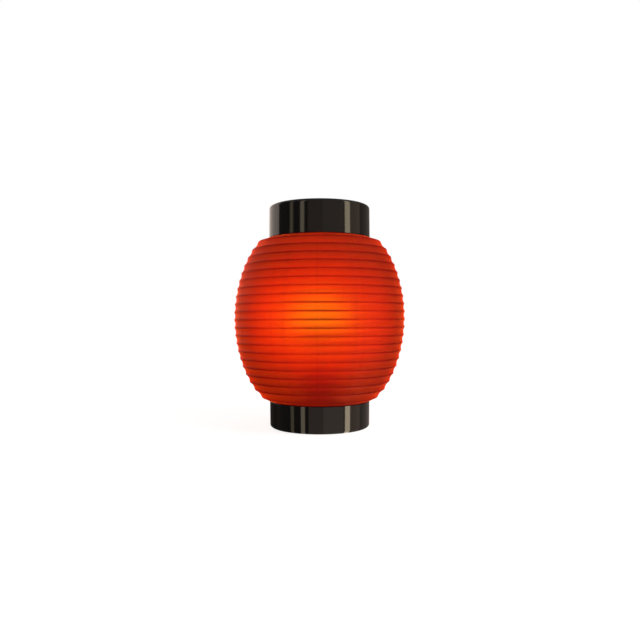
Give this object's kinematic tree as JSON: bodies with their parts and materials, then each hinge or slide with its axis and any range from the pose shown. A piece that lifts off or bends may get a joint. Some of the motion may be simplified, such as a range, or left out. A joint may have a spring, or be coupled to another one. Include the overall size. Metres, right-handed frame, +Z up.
{
  "type": "paper lantern",
  "caption": "Barrel-shaped red paper lantern on bamboo hoops between black mouth rings, with a lamp on a bar in the lower ring; the body folds down round the lamp.",
  "frame": {"origin": "centre of the lower ring's bottom edge, on the surface the lantern stands on", "axes": "+Z up the lantern's axis, +X along the lamp bar, -Y towards the switch key, +Y towards the cable grommet"},
  "size_m": [0.2399, 0.24, 0.308],
  "materials": {
    "ring_lacquer": "glossy black lacquered plastic",
    "bamboo": "split and planed bamboo",
    "red_paper": "dyed washi, waxed, lets light through",
    "cotton_thread": "twisted cotton thread",
    "bar_wood": "planed softwood, unfinished",
    "zinc_steel": "bright zinc plated steel",
    "holder_phenolic": "moulded black phenolic",
    "porcelain": "glazed white porcelain",
    "brass": "stamped and turned brass",
    "key_plastic": "moulded black phenolic",
    "cam_fibre": "vulcanised fibre",
    "solder": "tinned contact",
    "black_glass": "black vitreous insulator",
    "cap_nickel": "nickel plated brass",
    "housing_plastic": "white moulded plastic",
    "opal_plastic": "opal diffusing plastic, lit from inside",
    "board_aluminium": "white solder mask on aluminium",
    "led_phosphor": "yellow phosphor in white packages",
    "circuit_board": "green glass-fibre board",
    "grommet_rubber": "black moulded rubber"
  },
  "bodies": {
    "base": {"bar_cleats": "bar_wood", "bar_screws": "zinc_steel", "bulb_dome": "opal_plastic", "bulb_housing": "housing_plastic", "bulb_insulator": "black_glass", "bulb_screw_cap": "cap_nickel", "bulb_tip": "solder", "cable_grommet": "grommet_rubber", "centre_contact": "brass", "driver_board": "circuit_board", "holder_cap": "holder_phenolic", "holder_insert": "porcelain", "holder_shell": "holder_phenolic", "lamp_bar": "bar_wood", "led_board": "board_aluminium", "led_chips": "led_phosphor", "lower_lock_nut": "zinc_steel", "lower_neck_band": "bamboo", "lower_ring": "ring_lacquer", "nipple": "zinc_steel", "paper_shade": "red_paper", "screw_liner": "brass", "spacing_threads": "cotton_thread", "switch_bush": "brass", "switch_leaf": "brass", "terminal_screws": "brass", "upper_lock_nut": "zinc_steel", "washers": "zinc_steel"},
    "upper_ring": {"upper_ring": "ring_lacquer", "upper_neck_band": "bamboo"},
    "hoop_01": {"hoop_01": "bamboo"},
    "hoop_02": {"hoop_02": "bamboo"},
    "hoop_03": {"hoop_03": "bamboo"},
    "hoop_04": {"hoop_04": "bamboo"},
    "hoop_05": {"hoop_05": "bamboo"},
    "hoop_06": {"hoop_06": "bamboo"},
    "hoop_07": {"hoop_07": "bamboo"},
    "hoop_08": {"hoop_08": "bamboo"},
    "hoop_09": {"hoop_09": "bamboo"},
    "hoop_10": {"hoop_10": "bamboo"},
    "hoop_11": {"hoop_11": "bamboo"},
    "hoop_12": {"hoop_12": "bamboo"},
    "hoop_13": {"hoop_13": "bamboo"},
    "hoop_14": {"hoop_14": "bamboo"},
    "hoop_15": {"hoop_15": "bamboo"},
    "hoop_16": {"hoop_16": "bamboo"},
    "hoop_17": {"hoop_17": "bamboo"},
    "hoop_18": {"hoop_18": "bamboo"},
    "hoop_19": {"hoop_19": "bamboo"},
    "hoop_20": {"hoop_20": "bamboo"},
    "hoop_21": {"hoop_21": "bamboo"},
    "switch_key": {"switch_key": "key_plastic", "switch_spindle": "brass", "switch_cam": "cam_fibre"}
  },
  "joints": [
    {"name": "fold", "type": "slide", "parent": "base", "child": "upper_ring", "axis": [0, 0, -1], "range_m": [0, 0.17225], "deforming": ["paper_shade", "spacing_threads"]},
    {"name": "hoop_01_slide", "type": "slide", "parent": "base", "child": "hoop_01", "axis": [0, 0, -1], "range_m": [0, 0.00524]},
    {"name": "hoop_02_slide", "type": "slide", "parent": "base", "child": "hoop_02", "axis": [0, 0, -1], "range_m": [0, 0.01342]},
    {"name": "hoop_03_slide", "type": "slide", "parent": "base", "child": "hoop_03", "axis": [0, 0, -1], "range_m": [0, 0.02144]},
    {"name": "hoop_04_slide", "type": "slide", "parent": "base", "child": "hoop_04", "axis": [0, 0, -1], "range_m": [0, 0.02951]},
    {"name": "hoop_05_slide", "type": "slide", "parent": "base", "child": "hoop_05", "axis": [0, 0, -1], "range_m": [0, 0.03759]},
    {"name": "hoop_06_slide", "type": "slide", "parent": "base", "child": "hoop_06", "axis": [0, 0, -1], "range_m": [0, 0.04568]},
    {"name": "hoop_07_slide", "type": "slide", "parent": "base", "child": "hoop_07", "axis": [0, 0, -1], "range_m": [0, 0.05378]},
    {"name": "hoop_08_slide", "type": "slide", "parent": "base", "child": "hoop_08", "axis": [0, 0, -1], "range_m": [0, 0.06188]},
    {"name": "hoop_09_slide", "type": "slide", "parent": "base", "child": "hoop_09", "axis": [0, 0, -1], "range_m": [0, 0.06997]},
    {"name": "hoop_10_slide", "type": "slide", "parent": "base", "child": "hoop_10", "axis": [0, 0, -1], "range_m": [0, 0.07807]},
    {"name": "hoop_11_slide", "type": "slide", "parent": "base", "child": "hoop_11", "axis": [0, 0, -1], "range_m": [0, 0.08616]},
    {"name": "hoop_12_slide", "type": "slide", "parent": "base", "child": "hoop_12", "axis": [0, 0, -1], "range_m": [0, 0.09425]},
    {"name": "hoop_13_slide", "type": "slide", "parent": "base", "child": "hoop_13", "axis": [0, 0, -1], "range_m": [0, 0.10234]},
    {"name": "hoop_14_slide", "type": "slide", "parent": "base", "child": "hoop_14", "axis": [0, 0, -1], "range_m": [0, 0.11044]},
    {"name": "hoop_15_slide", "type": "slide", "parent": "base", "child": "hoop_15", "axis": [0, 0, -1], "range_m": [0, 0.11854]},
    {"name": "hoop_16_slide", "type": "slide", "parent": "base", "child": "hoop_16", "axis": [0, 0, -1], "range_m": [0, 0.12663]},
    {"name": "hoop_17_slide", "type": "slide", "parent": "base", "child": "hoop_17", "axis": [0, 0, -1], "range_m": [0, 0.13473]},
    {"name": "hoop_18_slide", "type": "slide", "parent": "base", "child": "hoop_18", "axis": [0, 0, -1], "range_m": [0, 0.14281]},
    {"name": "hoop_19_slide", "type": "slide", "parent": "base", "child": "hoop_19", "axis": [0, 0, -1], "range_m": [0, 0.15089]},
    {"name": "hoop_20_slide", "type": "slide", "parent": "base", "child": "hoop_20", "axis": [0, 0, -1], "range_m": [0, 0.15894]},
    {"name": "hoop_21_slide", "type": "slide", "parent": "base", "child": "hoop_21", "axis": [0, 0, -1], "range_m": [0, 0.16699]},
    {"name": "key_turn", "type": "hinge", "parent": "base", "child": "switch_key", "pos_m": [0, -0.019, 0.047], "axis": [0, -1, 0], "continuous": true}
  ],
  "couplings": [
    {"joint": "hoop_01_slide", "follows": "fold", "ratio": 0.030361},
    {"joint": "hoop_02_slide", "follows": "fold", "ratio": 0.077807},
    {"joint": "hoop_03_slide", "follows": "fold", "ratio": 0.12441},
    {"joint": "hoop_04_slide", "follows": "fold", "ratio": 0.17124},
    {"joint": "hoop_05_slide", "follows": "fold", "ratio": 0.21817},
    {"joint": "hoop_06_slide", "follows": "fold", "ratio": 0.26513},
    {"joint": "hoop_07_slide", "follows": "fold", "ratio": 0.31212},
    {"joint": "hoop_08_slide", "follows": "fold", "ratio": 0.35913},
    {"joint": "hoop_09_slide", "follows": "fold", "ratio": 0.40614},
    {"joint": "hoop_10_slide", "follows": "fold", "ratio": 0.45314},
    {"joint": "hoop_11_slide", "follows": "fold", "ratio": 0.50011},
    {"joint": "hoop_12_slide", "follows": "fold", "ratio": 0.54708},
    {"joint": "hoop_13_slide", "follows": "fold", "ratio": 0.59407},
    {"joint": "hoop_14_slide", "follows": "fold", "ratio": 0.64107},
    {"joint": "hoop_15_slide", "follows": "fold", "ratio": 0.68808},
    {"joint": "hoop_16_slide", "follows": "fold", "ratio": 0.73508},
    {"joint": "hoop_17_slide", "follows": "fold", "ratio": 0.78206},
    {"joint": "hoop_18_slide", "follows": "fold", "ratio": 0.82901},
    {"joint": "hoop_19_slide", "follows": "fold", "ratio": 0.87589},
    {"joint": "hoop_20_slide", "follows": "fold", "ratio": 0.92262},
    {"joint": "hoop_21_slide", "follows": "fold", "ratio": 0.96935}
  ]
}
